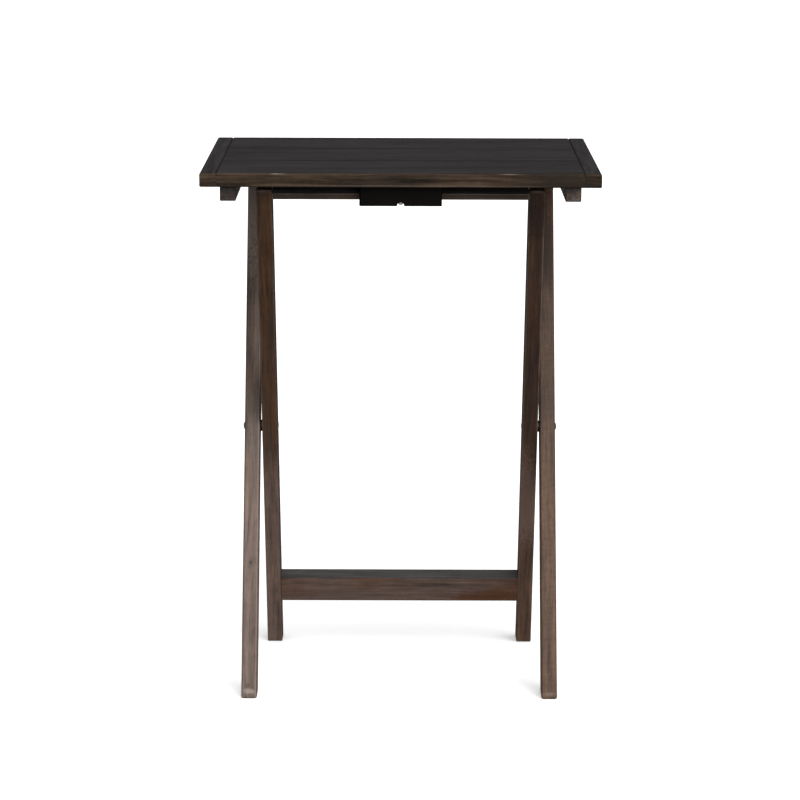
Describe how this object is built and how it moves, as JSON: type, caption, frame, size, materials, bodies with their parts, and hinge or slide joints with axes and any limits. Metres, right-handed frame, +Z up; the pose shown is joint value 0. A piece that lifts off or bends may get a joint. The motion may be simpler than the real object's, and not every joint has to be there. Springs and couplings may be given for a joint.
{
  "type": "folding tray table",
  "caption": "Folding tray table: a planked rectangular tray hinged on crossed wooden legs, held open by a catch over the front crossbar.",
  "frame": {"origin": "on the floor, under the middle of the tray", "axes": "+Z up, +X to the right, -Y towards the tray's front edge, where the catch is"},
  "size_m": [0.482, 0.388, 0.66],
  "materials": {
    "tray_wood": "dark stain under satin lacquer, fine lengthwise grain",
    "outer_leg_wood": "greyed brown stain under satin lacquer",
    "frame_wood": "dark brown stain under satin lacquer",
    "dowel_wood": "bare beech",
    "black_plastic": "moulded black, satin",
    "zinc_steel": "zinc-plated steel"
  },
  "bodies": {
    "outer_legs": {"outer_leg_left": "outer_leg_wood", "outer_leg_right": "outer_leg_wood", "hinge_screw_left": "zinc_steel", "hinge_screw_right": "zinc_steel", "hinge_washer_left": "zinc_steel", "hinge_washer_right": "zinc_steel"},
    "inner_frame": {"inner_leg_left": "frame_wood", "inner_leg_right": "frame_wood", "lower_stretcher": "frame_wood", "stretcher_dowels": "dowel_wood", "top_crossbar": "frame_wood", "crossbar_screws": "zinc_steel", "pivot_bolt_left": "zinc_steel", "pivot_bolt_right": "zinc_steel", "pivot_spacer_left": "zinc_steel", "pivot_spacer_right": "zinc_steel", "pivot_nut_left": "zinc_steel", "pivot_nut_right": "zinc_steel"},
    "tray": {"plank_front": "tray_wood", "plank_middle": "tray_wood", "plank_rear": "tray_wood", "end_cap_left": "tray_wood", "end_cap_right": "tray_wood", "cleat_left": "frame_wood", "cleat_right": "frame_wood", "cleat_screws": "zinc_steel", "catch_block": "black_plastic", "catch_screws": "zinc_steel"}
  },
  "joints": [
    {"name": "tray_swing", "type": "hinge", "parent": "outer_legs", "child": "tray", "pos_m": [0, 0.11628, 0.63], "axis": [-1, 0, 0], "range_deg": [0, 88]},
    {"name": "leg_fold", "type": "hinge", "parent": "outer_legs", "child": "inner_frame", "pos_m": [0, -0.017, 0.316], "axis": [-1, 0, 0], "range_deg": [0, 46]}
  ],
  "couplings": [
    {"joint": "leg_fold", "follows": "tray_swing", "ratio": 0.5227}
  ]
}
